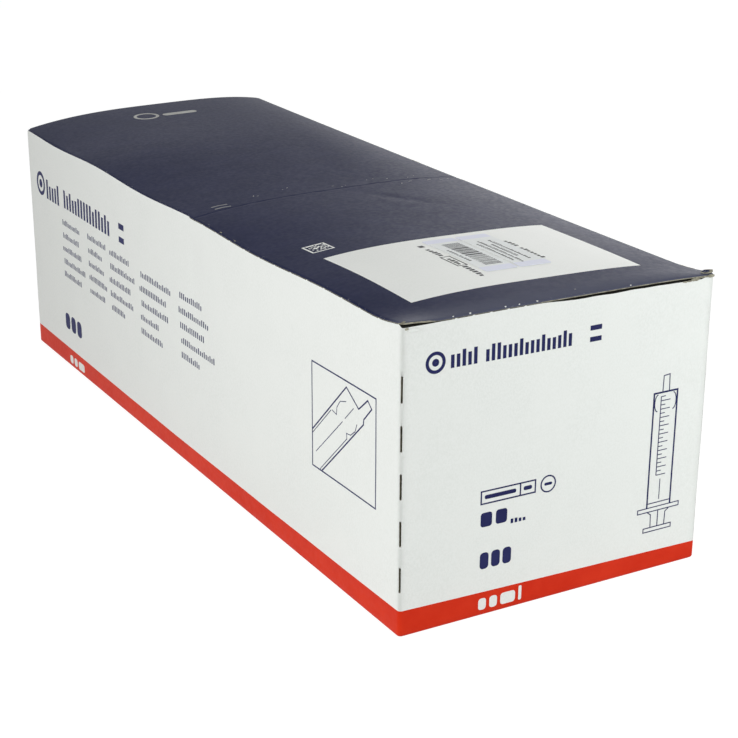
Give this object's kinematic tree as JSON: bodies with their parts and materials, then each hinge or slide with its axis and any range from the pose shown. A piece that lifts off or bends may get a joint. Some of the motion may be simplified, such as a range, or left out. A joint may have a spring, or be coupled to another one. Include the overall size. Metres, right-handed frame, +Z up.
{
  "type": "sealed syringe carton",
  "caption": "Long sealed folding carton, filled with wrapped syringes, with a crowned tear-open lid, slotted front folds and adhesive labels.",
  "frame": {"origin": "middle of the base, on the surface that the carton stands on, between its four upright folds", "axes": "+Z up, +Y along the length from the tear-down front end to the rear end, +X across the width from the pictured long side to the plain one"},
  "size_m": [0.149, 0.4138, 0.1332],
  "materials": {
    "carton_board": "white-lined grey board, semi-gloss print varnish",
    "label_paper": "matte adhesive label paper"
  },
  "bodies": {
    "root": {"carton": "carton_board", "barcode_label": "label_paper", "text_label": "label_paper"}
  },
  "joints": []
}
